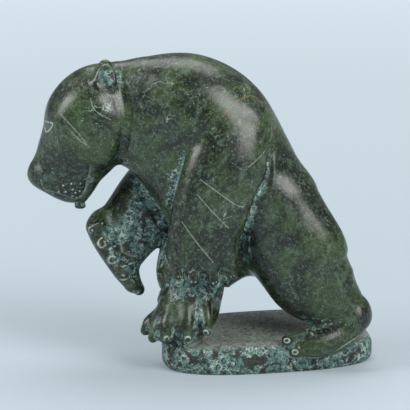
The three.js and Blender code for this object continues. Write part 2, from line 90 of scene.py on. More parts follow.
NEAR_HIND_LEG = [
    (54, -9, 109.5, 22, 22), (62.5, -15, 81, 30, 20), (70, -16, 61.5, 29, 19),
    (83, -16, 47.5, 23, 17), (97, -16, 37, 13, 13),
]
NEAR_HIND_FOOT = [
    (101, -16, 33, 9, 13), (90.5, -19, 24, 11, 14), (76, -24, 19, 10, 14),
    (62, -27, 16.5, 7, 11),
]
FAR_HIND_LEG = [
    (39.5, 12, 88, 26, 18), (11, 8, 72.5, 24.5, 20), (-4.5, 2, 61, 25, 20),
    (-6, -4, 47, 20, 18), (-9, -10, 38, 19.5, 17),
]
FAR_HIND_FOOT = [(-9, -10, 38, 19, 17), (-13.5, -18, 31, 15.5, 16.5), (-21, -20, 28.5, 12, 13)]

# toes run from root to tip and narrow a little at the tip; size is radius and half width
TOE_TIP = 0.85
FAR_HIND_TOES = [
    [(-30, -14, 33), (-34, -17, 30), (-36.5, -18, 24.5)],
    [(-25.5, -20, 36), (-28.5, -26, 31), (-31.5, -29, 22.5)],
    [(-20, -24, 41), (-21.5, -30, 34), (-23, -33.5, 24.5)],
    [(-9, -25, 43), (-9, -31.5, 35), (-9, -35.5, 25)],
    [(2.5, -23, 42.5), (3.5, -28, 36.5), (3.5, -31, 28)],
]
NEAR_HIND_TOES = [[(70, -30, 25), (55, -31, 21.5)], [(73, -32, 17), (60.5, -34, 14.5)]]
NEAR_PAW_TOES = [
    [(-15.5, -35, 78), (-15, -37.5, 67)], [(-5.5, -36, 76), (-5, -38.5, 63.5)],
    [(7, -36, 76), (7.5, -38.5, 63)], [(18, -34.5, 78), (19.5, -37, 67.5)],
]
RAISED_PAW_TOES = [
    [(-65.5, -4, 92.5), (-70.5, -3.5, 89.5)], [(-60, -5, 84), (-65.5, -4.5, 80.5)],
    [(-53.5, -5, 73.5), (-59, -4.5, 70)], [(-47.5, -5, 63), (-52.5, -4.5, 59.5)],
    [(-43, -5, 53), (-46, -4.5, 50.5)],
]
# the lips and the palm are cut back flat: a place on each cut, and the way it faces
LIP_CUT_AT, LIP_CUT_AWAY = (-95, 0, 109.5), (-0.42, 0, -0.91)
PALM_CUT_AT, PALM_CUT_AWAY = (-61.5, 0, 65), (-0.83, 0, -0.56)

# the rock is a rounded slab, turned so that its right end lies further back
BASE_LENGTH, BASE_WIDTH = 139, 67
BASE_TURN = math.radians(13)
BASE_CENTRE = (43, -1)
BASE_FRONT_HEIGHT, BASE_BACK_RISE, BASE_HEEL_FALL = 20, 7, 3
# across the slab the rise starts here and takes this run, and so does the fall along it
RISE_FROM, RISE_RUN = -20, 40
FALL_FROM, FALL_RUN = 30, 40
BASE_EDGE = 9
BASE_ROUNDNESS = 2.6

# how far two forms melt into each other where they meet
MELT = {
    "chest": 12, "cheek": 8, "jaw": 7, "nose": 8, "lips": 6, "lip cut": 7, "chin": 3,
    "tongue": 2, "ear": 3, "ear hollow": 1.5, "head": 3,
    "palm": 5, "palm cut": 5, "raised paw": 3, "raised toes": 3, "raised arm": 4,
    "near paw": 6, "near paw toes": 3, "hanging arm": 4,
    "near hind leg": 10, "far hind leg": 8, "far hind toes": 4, "far hind foot": 6,
    "near hind toes": 2, "near hind foot": 5, "rock": 3,
}

# a limb's distance is worked out this far from its stations, and counts as FAR beyond
REACH = 22
NARROW_REACH = 8
FAR = 60

# the search for the nearest place starts from STEPS straight steps a span, STEADY keeps
# it from overshooting, and no distance is taken to grow more slowly than FLATTEST
STEPS = 4
STEADY = 0.4
FLATTEST = 0.3


def union(a, b, blend):
    """The nearer of two forms, melted together over blend."""
    overlap = np.maximum(blend - np.abs(a - b), 0) / blend
    return np.minimum(a, b) - overlap * overlap * blend / 4


def cut(a, b, blend):
    """What is left of one form when the other is taken out of it."""
    return -union(-a, b, blend)


class Limb:
    """A smooth curve through its stations with a round section; square 2 is an ellipse."""

    def __init__(self, stations, square=2.0, reach=REACH):
        rows = np.array(stations, np.float32)
        ends = np.vstack([2 * rows[0] - rows[1], rows, 2 * rows[-1] - rows[-2]])
        before, start, end, after = ends[:-3], ends[1:-2], ends[2:-1], ends[3:]
        self.spans = np.stack([
            start,
            (end - before) / 2,
            before - 2.5 * start + 2 * end - after / 2,
            (after - before) / 2 + 1.5 * (start - end),
        ], 1)
        self.square = square
        self.steps = self.at(np.arange(STEPS * len(self.spans) + 1) / STEPS)
        thickest = self.steps[:, 3:].max() + reach
        self.low = self.steps[:, :3].min(0) - thickest
        self.high = self.steps[:, :3].max(0) + thickest

    def at(self, along, turn=0, parts=5):
        """Place, radius and width at a station number, or how the place changes there."""
        span = np.minimum(along.astype(int), len(self.spans) - 1)
        u = (along - span)[:, None].astype(np.float32)
        a, b, c, d = (self.spans[span, power, :parts] for power in range(4))
        if turn == 1:
            return (3 * d * u + 2 * c) * u + b
        if turn == 2:
            return 6 * d * u + 2 * c
        return ((d * u + c) * u + b) * u + a

    def nearest(self, points):
        """The station number nearest each point: the nearest straight step, then refined."""
        best = np.full(len(points), np.inf, np.float32)
        along = np.zeros(len(points), np.float32)
        places = self.steps[:, :3]
        for i, (start, end) in enumerate(zip(places[:-1], places[1:])):
            run = end - start
            gap = points - start
            u = np.clip(gap @ run / max(float(run @ run), 1e-6), 0, 1)
            gap -= u[:, None] * run
            square = np.einsum("ij,ij->i", gap, gap)
            closer = square < best
            best[closer] = square[closer]
            along[closer] = (i + u[closer]) / STEPS
        for _ in range(2):
            gap = self.at(along, 0, 3) - points
            pace = self.at(along, 1, 3)
            bend = self.at(along, 2, 3)
            slope = np.einsum("ij,ij->i", gap, pace)
            speed = np.einsum("ij,ij->i", pace, pace)
            curve = speed + np.einsum("ij,ij->i", gap, bend)
            back = slope / np.maximum(curve, STEADY * speed)
            along = np.clip(along - back, 0, len(self.spans))
        return along

    def __call__(self, points):
        """How far the points are outside the limb."""
        distance = np.full(len(points), FAR, np.float32)
        near = ((points > self.low) & (points < self.high)).all(1).nonzero()[0]
        if len(near) == 0:
            return distance
        points = points[near]
        station = self.at(self.nearest(points))
        radius, width = station[:, 3], station[:, 4]
        gap = points - station[:, :3]
        stretch = radius / width
        across = np.abs(gap[:, 1]) * stretch + 1e-3
        in_plane = np.maximum(np.hypot(gap[:, 0], gap[:, 2]), 1e-2)
        n = self.square
        size = (in_plane ** n + across ** n) ** (1 / n)
        slope = np.hypot((in_plane / size) ** (n - 1), (across / size) ** (n - 1) * stretch)
        distance[near] = np.minimum((size - radius) / np.maximum(slope, FLATTEST), FAR)
        return distance


class Toes:
    """A row of short limbs that melt into a paw."""

    def __init__(self, lines, radius, width):
        self.limbs = []
        for line in lines:
            sizes = [1.0] * (len(line) - 1) + [TOE_TIP]
            rows = [(*point, radius * size, width * size) for point, size in zip(line, sizes)]
            self.limbs.append(Limb(rows, reach=NARROW_REACH))

    def on(self, paw, points, blend):
        for toe in self.limbs:
            paw = union(paw, toe(points), blend)
        return paw


torso, chest = Limb(TORSO), Limb(CHEST)
cranium, cheek, jaw = Limb(CRANIUM), Limb(CHEEK, square=3.2), Limb(JAW)
nose, lips = Limb(NOSE), Limb(LIPS)
chin, tongue = Limb(CHIN, reach=NARROW_REACH), Limb(TONGUE, reach=NARROW_REACH)
ears = [
    (Limb(ear, reach=NARROW_REACH), Limb(hollow, reach=NARROW_REACH))
    for ear, hollow in [(NEAR_EAR, NEAR_EAR_HOLLOW), (FAR_EAR, FAR_EAR_HOLLOW)]
]
near_arm, near_paw = Limb(NEAR_ARM, square=2.5), Limb(NEAR_PAW)
far_arm, palm, raised_paw = Limb(FAR_ARM, square=2.5), Limb(PALM), Limb(RAISED_PAW)
near_hind_leg, near_hind_foot = Limb(NEAR_HIND_LEG), Limb(NEAR_HIND_FOOT)
far_hind_leg, far_hind_foot = Limb(FAR_HIND_LEG), Limb(FAR_HIND_FOOT)
far_hind_toes = Toes(FAR_HIND_TOES, radius=3.8, width=3.8)
near_hind_toes = Toes(NEAR_HIND_TOES, radius=3.8, width=4)
near_paw_toes = Toes(NEAR_PAW_TOES, radius=4.2, width=5)
raised_paw_toes = Toes(RAISED_PAW_TOES, radius=3.4, width=5)


def beyond(points, at, away):
    """How far the points are short of a flat cut, facing away."""
    away = np.array(away) / np.linalg.norm(away)
    return ((np.array(at) - points) @ away).astype(np.float32)


def head(points):
    form = union(cranium(points), cheek(points), MELT["cheek"])
    form = union(form, jaw(points), MELT["jaw"])
    form = union(form, nose(points), MELT["nose"])
    form = union(form, lips(points), MELT["lips"])
    form = cut(form, beyond(points, LIP_CUT_AT, LIP_CUT_AWAY), MELT["lip cut"])
    form = union(form, chin(points), MELT["chin"])
    form = union(form, tongue(points), MELT["tongue"])
    for ear, hollow in ears:
        form = union(form, cut(ear(points), hollow(points), MELT["ear hollow"]), MELT["ear"])
    return form


def raised_arm(points):
    form = union(far_arm(points), palm(points), MELT["palm"])
    form = cut(form, beyond(points, PALM_CUT_AT, PALM_CUT_AWAY), MELT["palm cut"])
    form = union(form, raised_paw(points), MELT["raised paw"])
    return raised_paw_toes.on(form, points, MELT["raised toes"])


def rock_base(points):
    x, y, z = (points - np.array([*BASE_CENTRE, 0], np.float32)).T
    lengthwise = math.cos(BASE_TURN) * x + math.sin(BASE_TURN) * y
    crosswise = -math.sin(BASE_TURN) * x + math.cos(BASE_TURN) * y
    n = BASE_ROUNDNESS
    half = BASE_WIDTH / 2
    rim = (np.abs(2 * lengthwise / BASE_LENGTH) ** n + np.abs(crosswise / half) ** n) ** (1 / n)
    side = (rim - 1) * half + BASE_EDGE
    rise = BASE_BACK_RISE * np.clip((crosswise - RISE_FROM) / RISE_RUN, 0, 1)
    fall = BASE_HEEL_FALL * np.clip((lengthwise - FALL_FROM) / FALL_RUN, 0, 1)
    top = z - (BASE_FRONT_HEIGHT + rise - fall)
    level = np.maximum(top + BASE_EDGE, -z + BASE_EDGE / 2)
    outside = np.hypot(np.maximum(side, 0), np.maximum(level, 0))
    return (outside + np.minimum(np.maximum(side, level), 0) - BASE_EDGE).astype(np.float32)


def stone(points):
    """How far the points are outside the carving, whose underside is sawn flat at nil."""
    form = union(torso(points), chest(points), MELT["chest"])
    form = union(form, head(points), MELT["head"])
    form = union(form, raised_arm(points), MELT["raised arm"])
    form = union(form, near_hind_leg(points), MELT["near hind leg"])
    form = union(form, far_hind_leg(points), MELT["far hind leg"])
    hanging = union(near_arm(points), near_paw(points), MELT["near paw"])
    hanging = near_paw_toes.on(hanging, points, MELT["near paw toes"])
    form = union(form, hanging, MELT["hanging arm"])
    foot = far_hind_toes.on(far_hind_foot(points), points, MELT["far hind toes"])
    form = union(form, foot, MELT["far hind foot"])
    foot = near_hind_toes.on(near_hind_foot(points), points, MELT["near hind toes"])
    form = union(form, foot, MELT["near hind foot"])
    form = union(form, rock_base(points), MELT["rock"])
    return np.maximum(form, -points[:, 2])


# The stone is a net of small squares laid where the distance to the carving is nil.
CELL = 1.35
BLOCK_LOW = np.array([-116, -47, -1.5 * CELL], np.float32)
BLOCK_HIGH = np.array([116, 43, 207], np.float32)
# the grid starts COARSEST cells wide and is halved within NEAR_SKIN steps of the skin;
# NUDGE is the small move, in millimetres, that shows which way the distance grows
COARSEST = 8
NEAR_SKIN = 4.2
NUDGE = 0.25
CORNERS = np.array([(i, j, k) for i in (0, 1) for j in (0, 1) for k in (0, 1)])


def distances():
    """The distance at every corner of the grid, worked out finely only near the skin."""
    cells = np.ceil((BLOCK_HIGH - BLOCK_LOW) / CELL / COARSEST).astype(int) * COARSEST
    field = None
    step = COARSEST
    while step >= 1:
        shape = cells // step + 1
        index = np.stack(np.meshgrid(*[np.arange(n) for n in shape], indexing="ij"), -1)
        if field is None:
            near = np.ones(shape, bool)
            field = np.zeros(shape, np.float32)
        else:
            for axis in range(3):
                field = np.repeat(field, 2, axis)
            field = field[:shape[0], :shape[1], :shape[2]]
            near = np.abs(field) < NEAR_SKIN * step * CELL
        points = BLOCK_LOW + index[near].astype(np.float32) * (step * CELL)
        field[near] = stone(points.astype(np.float32))
        step //= 2
    return field


def net(field):
    """Corners and squares of the net: one corner in each grid cell that the skin crosses."""
    inside = field < 0
    shape = np.array(field.shape) - 1
    corner_inside = [inside[i:shape[0] + i, j:shape[1] + j, k:shape[2] + k] for i, j, k in CORNERS]
    count = sum(c.astype(np.int8) for c in corner_inside)
    cells = np.argwhere((count > 0) & (count < 8))
    number = np.full(shape, -1, np.int64)
    number[tuple(cells.T)] = np.arange(len(cells))
    total = np.zeros((len(cells), 3), np.float32)
    crossings = np.zeros(len(cells), np.float32)
    for a in CORNERS:
        for axis in range(3):
            if a[axis]:
                continue
            b = a.copy()
            b[axis] = 1
            at_a = field[tuple((cells + a).T)]
            at_b = field[tuple((cells + b).T)]
            crossed = (at_a < 0) != (at_b < 0)
            share = np.where(crossed, at_a / np.where(crossed, at_a - at_b, 1), 0)
            place = a + share[:, None] * (b - a)
            total += place * crossed[:, None]
            crossings += crossed
    corners = BLOCK_LOW + (cells + total / crossings[:, None]) * CELL
    squares = []
    for axis in range(3):
        first, second = (axis + 1) % 3, (axis + 2) % 3
        start = [slice(1, n) for n in shape]
        start[axis] = slice(0, shape[axis])
        end = list(start)
        end[axis] = slice(1, shape[axis] + 1)
        goes_out = inside[tuple(start)] & ~inside[tuple(end)]
        comes_in = ~inside[tuple(start)] & inside[tuple(end)]
        for crossing, outward in [(goes_out, True), (comes_in, False)]:
            edge = np.argwhere(crossing)
            edge[:, first] += 1
            edge[:, second] += 1
            ring = []
            for back in [(1, 1), (0, 1), (0, 0), (1, 0)]:
                cell = edge.copy()
                cell[:, first] -= back[0]
                cell[:, second] -= back[1]
                ring.append(number[tuple(cell.T)])
            ring = np.stack(ring, 1)
            squares.append(ring if outward else ring[:, ::-1])
    return corners.astype(np.float32), np.concatenate(squares)


def slope(points):
    """Distance at the points, how it grows along each axis, and how steeply in all."""
    here = stone(points)
    nudges = np.float32(NUDGE) * np.eye(3, dtype=np.float32)
    change = np.stack([stone(points + nudge) - here for nudge in nudges], 1) / NUDGE
    steepness = np.maximum(np.linalg.norm(change, axis=1), FLATTEST)
    return here, change, steepness


def onto_skin(corners):
    """The corners drawn onto the carving, by no more than a quarter cell each time."""
    for _ in range(2):
        here, change, steepness = slope(corners)
        move = np.clip(here / steepness ** 2, -CELL / 4, CELL / 4)
        corners = corners - move[:, None] * change
    return corners.astype(np.float32)


corners, squares = net(distances())
corners = onto_skin(corners)
corners[:, 2] = np.maximum(corners[:, 2], 0)


# ---- Carved marks -------------------------------------------------------------------
# Claws, eyes, nostrils, mouth, whisker holes and creases are cut into the polished skin
# with a fine point, and pale stone dust still sits in them.  The net is finer round them.

MIDDLE = -1          # the plane that halves the head


def mirrored(line):
    """The same line on the far side of the head."""
    return [(x, 2 * MIDDLE - y, z) for x, y, z in line]


def smooth_line(points, per_span=6):
    """A rounded line through a few places."""
    rows = [(*point, 1, 1) for point in points]
    curve = Limb(rows)
    return curve.at(np.linspace(0, len(curve.spans), per_span * len(curve.spans) + 1), 0, 3)


# each claw is a small oval ring: centre, half width, half height
CLAW_RINGS = [
    ((-72, -6.5, 89), 1.5, 1.8), ((-64.5, -7, 81), 1.7, 2.5), ((-57.5, -7, 70), 2.3, 2),
    ((-50, -7, 58.5), 2.4, 1.6), ((-43.7, -6.5, 47.5), 2.6, 1.6),
    ((-22.4, -36, 22.5), 1.8, 3), ((-8.7, -38, 23), 2.2, 2.8), ((2.6, -33.5, 26), 1.9, 2.8),
    ((55, -34.5, 22.3), 2, 1.7), ((60.3, -38, 15.4), 2, 1.6),
]
RING_POINTS = 14


def claw_ring(centre, half_width, half_height):
    x, y, z = centre
    turns = np.linspace(0, 2 * math.pi, RING_POINTS + 1)
    return [(x + half_width * math.cos(t), y, z + half_height * math.sin(t)) for t in turns]


EYE = [(-102.2, -7.5, 158.5), (-100.5, -11, 155.3), (-97.8, -14.5, 157), (-95.5, -18.5, 162),
       (-99, -14, 162), (-102, -9, 161.5), (-102.2, -7.5, 158.5)]
NOSTRIL = [(-103.5, -13, 124), (-102.5, -12.5, 119), (-99.5, -11, 114)]
MOUTH = [(-71, -21, 134.5), (-72, -16.5, 128), (-73.5, -11, 120.5), (-76, -10, 114),
         (-79, -10, 111.5)]
LIP_EDGE = [(-101, -11, 118), (-95, -14, 116.5), (-89, -16, 114), (-83, -14, 111),
            (-80, -11, 109.5)]
CHEEK_CREASE = [(-52, -16, 188), (-48.8, -19.6, 179), (-46.8, -22, 166), (-48.8, -21.5, 154),
                (-52.6, -18, 143), (-60.5, -13, 131)]
EAR_FRONT = [(-71, -16, 188.5), (-67, -14, 195), (-62.5, -10, 201.5)]
EAR_BACK = [(-62.5, -10, 201.5), (-56, -10, 198), (-52.5, -15.5, 188.5)]
WHISKER_HOLES = [
    (-89.3, -16.5, 121), (-84, -16, 122), (-78, -14, 121.5), (-92.3, -15.5, 116.5),
    (-87.8, -16, 116.5), (-83.2, -15.5, 118), (-81.5, -14.5, 115.5), (-78.7, -13, 116.5),
    (-96.2, -13, 114.7), (-94, -11, 111.5), (-87.8, -13.5, 111.5), (-83.5, -14, 113.5),
    (-80.6, -12, 111.7),
]
KNUCKLE_DOTS = [
    (-15.1, -41.5, 66.5), (-12.8, -41.5, 66), (-6.6, -42.5, 63.4), (-3.6, -42.5, 63),
    (7.5, -42.5, 62.4), (10, -42, 63), (19, -41, 66), (21.5, -41, 66.8),
]
PAW_GROOVE = [(-64, -6, 88), (-58.7, -7, 81), (-53, -7.5, 75), (-47.5, -6, 65), (-44.5, -5, 57),
              (-41.5, -8, 53)]
PALM_PAD = [(-51, -3.5, 90), (-53, -5.5, 82), (-50, -8, 75.5), (-46, -5, 71.5), (-42, -4, 71)]
CHEST_GROOVES = [
    [(-42.5, 3.5, 119), (-36.5, 0, 105.5), (-30, -0.5, 96.5), (-24.5, 3.5, 82)],
    [(-37, -2, 124), (-31, -3, 112), (-26, -4, 101), (-22.5, -5, 91)],
]
ARM_FRONT = [(-10, -26, 145), (-13.7, -27, 134), (-17.6, -27, 118.5), (-20.8, -22, 104),
             (-24, -28, 89)]
ARM_BACK = [(44.2, -27, 144), (43.6, -30, 133), (41, -32, 125), (37, -33, 118.5), (33, -32, 107.7),
            (28.5, -28.5, 95.5), (25.5, -21.5, 86), (24, -13, 74)]
SOLE_LINE = [(104.5, -23.5, 24.5), (95.5, -30, 19.5), (87, -31, 14), (78, -27, 9.5), (69, -31, 10),
             (61, -32, 9.5), (56.5, -32.5, 11), (54.5, -32, 14.5)]
HEEL_LEDGE = [(41.5, -13, 21.5), (47.5, -29.5, 19), (53.3, -33, 12.5)]
BASE_LEDGES = [
    [(-21.5, -26, 13), (-17.5, -28, 15.5), (-13.7, -29, 18.3)],
    [(-6, -32.5, 17.7), (-1, -29, 19.5), (3.2, -24, 21)],
]
# natural cracks in the stone, some pale and some rusty
PALE_CRACKS = [
    [(-0.7, -41.3, 130.5), (11, -43, 122), (22, -42, 114), (27, -40, 112)],
    [(-2.6, -42.3, 120.7), (7.2, -43.5, 109.6), (17.6, -41.8, 98.6)],
    [(-12.3, -40.6, 102.3), (-2.6, -43.3, 89), (7.8, -43, 76.2)],
    [(-2, -42, 77), (1.5, -42, 71), (5, -42, 65)],
    [(-90.4, -22, 169.3), (-76, -26, 153.6), (-62.4, -13.5, 129.4)],
    [(-86, -22.5, 162), (-79, -23, 154), (-72, -23.5, 148.5)],
    [(-71, -22.6, 179.5), (-69, -24, 173), (-63.7, -25, 169), (-58, -24.5, 166)],
    [(30, -38, 138), (37, -35, 143), (42, -31, 147)],
]
RUSTY_CRACKS = [
    [(13.7, -33, 170), (22.8, -27, 178), (32, -17.6, 180.4), (39.6, -14.3, 175), (43.6, -17, 168),
     (45.5, -20, 160), (45, -23, 153)],
]


def run_gap(points, line):
    """From the nearest place on a line to each point."""
    best = np.full(len(points), np.inf)
    gap = np.zeros((len(points), 3))
    for start, end in zip(line[:-1], line[1:]):
        run = end - start
        away = points - start
        u = np.clip(away @ run / max(run @ run, 1e-9), 0, 1)
        away = away - u[:, None] * run
        square = (away ** 2).sum(1)
        closer = square < best
        best[closer] = square[closer]
        gap[closer] = away[closer]
    return gap


# a mark is as wide on each side as width and as deep as depth, in millimetres; pale, rust
# and bloom say how much dust, stain and bloom it holds, and fine makes the net finer there
Mark = namedtuple("Mark", "line width depth pale rust bloom fine")
marks = []


def add_mark(line, width, depth, pale=0.0, rust=0.0, bloom=0.0, fine=True, both_sides=False):
    lines = [line, mirrored(line)] if both_sides else [line]
    for one in lines:
        marks.append(Mark(np.array(one, float), width, depth, pale, rust, bloom, fine))


DRILL_RUN = 0.05


def drilled(place):
    """A hole is a mark with hardly any length."""
    x, y, z = place
    return [place, (x + DRILL_RUN, y, z)]


for ring in CLAW_RINGS:
    add_mark(claw_ring(*ring), width=0.75, depth=0.35, pale=1.0)
add_mark(smooth_line(EYE), width=0.8, depth=0.5, pale=0.9, both_sides=True)
add_mark(smooth_line(NOSTRIL), width=0.8, depth=0.7, pale=0.6, both_sides=True)
add_mark(smooth_line(MOUTH), width=2.0, depth=1.5, pale=0.3, both_sides=True)
add_mark(smooth_line(LIP_EDGE), width=0.6, depth=0.15, pale=0.25, both_sides=True)
add_mark(smooth_line(CHEEK_CREASE), width=4.5, depth=1.4, fine=False, both_sides=True)
# nothing is cut along the rims of the ears: their net is only made finer
for rim in (EAR_FRONT, EAR_BACK):
    add_mark(smooth_line(rim), width=3, depth=0, both_sides=True)
for hole in WHISKER_HOLES:
    add_mark(drilled(hole), width=0.9, depth=0.4, pale=1.1, both_sides=True)
for dot in KNUCKLE_DOTS:
    add_mark(drilled(dot), width=0.8, depth=0.3, pale=0.9)
add_mark(smooth_line(PAW_GROOVE), width=2.2, depth=1.6, bloom=0.3)
add_mark(smooth_line(PALM_PAD), width=1.4, depth=0.7, pale=0.35)
for groove in CHEST_GROOVES:
    add_mark(smooth_line(groove), width=2.4, depth=1.1, bloom=0.4, fine=False)
add_mark(smooth_line(ARM_FRONT), width=3.6, depth=1.6, bloom=0.45, fine=False)
add_mark(smooth_line(ARM_BACK), width=4.2, depth=1.8, bloom=0.4, fine=False)
add_mark(smooth_line(SOLE_LINE), width=1.0, depth=0.8, pale=0.8)
for ledge in [HEEL_LEDGE, *BASE_LEDGES]:
    add_mark(smooth_line(ledge), width=1.6, depth=0.9)
for crack in PALE_CRACKS:
    add_mark(smooth_line(crack), width=0.55, depth=0.05, pale=0.4)
for crack in RUSTY_CRACKS:
    add_mark(smooth_line(crack), width=0.9, depth=0.1, rust=0.8)

bear = bmesh.new()
for corner in corners:
    bear.verts.new(corner.tolist())
bear.verts.ensure_lookup_table()
for square in squares.tolist():
    bear.faces.new([bear.verts[i] for i in square])

# the net is halved twice round the fine marks, this far past their edges: a set distance
# and a share of the squares' own size; none further off than SEARCH is looked at
FINE_BAND = 1
FINE_SHARE = 0.9
HALVINGS = 2
SEARCH = 5
for halving in range(HALVINGS):
    bear.verts.index_update()
    bear.faces.ensure_lookup_table()
    middles = np.array([face.calc_center_median() for face in bear.faces])
    wanted = np.zeros(len(middles), bool)
    size = CELL / 2 ** halving
    for mark in marks:
        if not mark.fine:
            continue
        line = mark.line
        reach = mark.width + FINE_SHARE * size + FINE_BAND
        inside = (middles > line.min(0) - SEARCH) & (middles < line.max(0) + SEARCH)
        near = inside.all(1).nonzero()[0]
        wanted[near] |= (run_gap(middles[near], line) ** 2).sum(1) < reach ** 2
    edges = {edge for i in wanted.nonzero()[0] for edge in bear.faces[i].edges}
    bmesh.ops.subdivide_edges(bear, edges=list(edges), cuts=1, use_grid_fill=True)

skin = onto_skin(np.array([v.co for v in bear.verts], np.float32))
skin[:, 2] = np.maximum(skin[:, 2], 0)
_, change, _ = slope(skin)
outward = change / np.maximum(np.linalg.norm(change, axis=1), 1e-6)[:, None]
SAWN_BELOW = 0.05
underside = skin[:, 2] < SAWN_BELOW
outward[underside] = (0, 0, -1)

sink = np.zeros(len(skin))
pale_dust = np.zeros(len(skin))
rust_stain = np.zeros(len(skin))
bloom_in_marks = np.zeros(len(skin))
# a mark works on the skin that it lies on, and on nothing further off than MARK_REACH
MARK_REACH = 7
for mark in marks:
    line = mark.line
    inside = (skin > line.min(0) - MARK_REACH) & (skin < line.max(0) + MARK_REACH)
    near = inside.all(1).nonzero()[0]
    gap = run_gap(skin[near], line)
    off = (gap * outward[near]).sum(1)
    across = np.linalg.norm(gap - off[:, None] * outward[near], axis=1)
    strength = np.clip(1 - across / mark.width, 0, 1) * (np.abs(off) < MARK_REACH)
    strength = strength * strength * (3 - 2 * strength)
    sink[near] = np.maximum(sink[near], mark.depth * strength)
    pale_dust[near] = np.maximum(pale_dust[near], mark.pale * strength)
    rust_stain[near] = np.maximum(rust_stain[near], mark.rust * strength)
    bloom_in_marks[near] = np.maximum(bloom_in_marks[near], mark.bloom * strength)

# how sheltered each place is: open stone is polished, sheltered stone keeps its dust;
# each probe stands so far out in millimetres and counts for its share
SHELTER_PROBES = [(2.5, 0.45), (6, 0.35), (12, 0.2)]
shelter = np.zeros(len(skin))
for probe, weight in SHELTER_PROBES:
    free = stone((skin + outward * probe).astype(np.float32)) / probe
    shelter += weight * np.clip(1 - free, 0, 1)
# places where the bloom was never rubbed off: centre, reach in mm, how thick it lies
DUSTY_PLACES = [
    ((-38, 0, 82), 30, 0.85), ((-57, -4, 70), 14, 0.25), ((-38, 2, 112), 16, 0.4),
    ((-20, -24, 112), 9, 0.45), ((-19, -25, 128), 8, 0.45), ((-24, -12, 90), 9, 0.5),
    ((-8, -16, 54), 22, 0.7), ((14, -10, 52), 16, 0.6), ((-22, -26, 30), 14, 0.35),
    ((0, -28, 30), 16, 0.35), ((27, -18, 76), 10, 0.5), ((-61, -16, 192), 7, 0.6),
    ((-40, -10, 188), 18, 0.2), ((-72, -14, 124), 5, 0.5), ((60, -36, 20), 6, 0.3),
]
# bloom lies at full thickness over the middle of each place, and the rock's own bloom
# runs a little way up the feet
DUST_CREST = 1.4
ROCK_FROM, ROCK_FADE = 1.6, 1.2
shelter += bloom_in_marks
for centre, reach, thickness in DUSTY_PLACES:
    away = np.linalg.norm(skin - np.array(centre), axis=1) / reach
    shelter += thickness * np.clip(DUST_CREST - DUST_CREST * away, 0, 1)
on_rock = np.clip(ROCK_FROM - rock_base(skin) / ROCK_FADE, 0, 1)
shelter += on_rock
skin = skin - outward * (sink * ~underside)[:, None]


# ---- The carving itself ---------------------------------------------------------------
# One skin carries the whole work.  It is set on the same block as the rough form and
# never stands outside it.

NODE = "bear_on_rock_base"
MM = 0.001

low, high = [np.array(corner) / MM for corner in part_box(NODE)]
scale = min(1.0, ((high - low) / (skin.max(0) - skin.min(0))).min())
middle = (skin.max(0) + skin.min(0)) / 2
placed = (skin - middle) * scale
placed[:, :2] += ((high + low) / 2)[:2]
placed[:, 2] += low[2] - placed[:, 2].min()

mesh = bpy.data.meshes.new("soapstone_bear")
for vertex, place in zip(bear.verts, placed * MM):
    vertex.co = place.tolist()
bear.to_mesh(mesh)
bear.free()
mesh.shade_smooth()
for name, values in [("dust", shelter), ("pale", pale_dust), ("rust", rust_stain),
                     ("rock", on_rock), ("up", outward[:, 2])]:
    layer = mesh.attributes.new(name, "FLOAT", "POINT")
    layer.data.foreach_set("value", values.astype(np.float32))
carving = bpy.data.objects.new("soapstone_bear", mesh)
bpy.context.scene.collection.objects.link(carving)
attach(carving, "root")
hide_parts(NODE)


# ---- Polished and dusty stone ---------------------------------------------------------
# Dark olive serpentine, waxed and rubbed to a gloss on the bear.  Sheltered places and
# the rock keep a dull blue-green bloom with brown-black spots, and fine cracks show pale.

stone_finish = bpy.data.materials.new("waxed_serpentine")
stone_finish.use_nodes = True
nodes = stone_finish.node_tree.nodes
links = stone_finish.node_tree.links
shader = nodes["Principled BSDF"]


def node(kind, inputs, **settings):
    made = nodes.new(kind)
    for name, value in settings.items():
        setattr(made, name, value)
    for name, value in inputs.items():
        socket = made.inputs[name]
        if isinstance(value, bpy.types.NodeSocket):
            links.new(value, socket)
        else:
            socket.default_value = value
    return made


def attribute(name):
    return node("ShaderNodeAttribute", {}, attribute_name=name).outputs["Fac"]


place_on_stone = node("ShaderNodeTexCoord", {}).outputs["Object"]


def noise(size_mm, detail=3, roughness=0.55, warp=0.0):
    """Even, cloudy variation from 0 to 1 with patches about size_mm across."""
    return node("ShaderNodeTexNoise", {
        "Vector": place_on_stone, "Scale": 1000 / size_mm, "Detail": detail,
        "Roughness": roughness, "Distortion": warp,
    }).outputs["Fac"]


def ramp(value, low, high, to_low=0.0, to_high=1.0):
    """Runs from to_low to to_high while value runs from low to high, softly."""
    return node("ShaderNodeMapRange", {
        "Value": value, "From Min": low, "From Max": high, "To Min": to_low, "To Max": to_high,
    }, interpolation_type="SMOOTHSTEP").outputs["Result"]


def combined(kind, a, b):
    return node("ShaderNodeMath", {0: a, 1: b}, operation=kind, use_clamp=True).outputs[0]


def mixed(share, a, b):
    return node("ShaderNodeMix", {0: share, 6: a, 7: b}, data_type="RGBA").outputs[2]


# the lines sway by SWAY cells, and show in patches of PATCH_SIZE cells that fade in over
# PATCH_EDGE
SWAYS_PER_CELL = 1.4
SWAY = 1.4
PATCH_SIZE = 1.7
PATCH_EDGE = 0.12


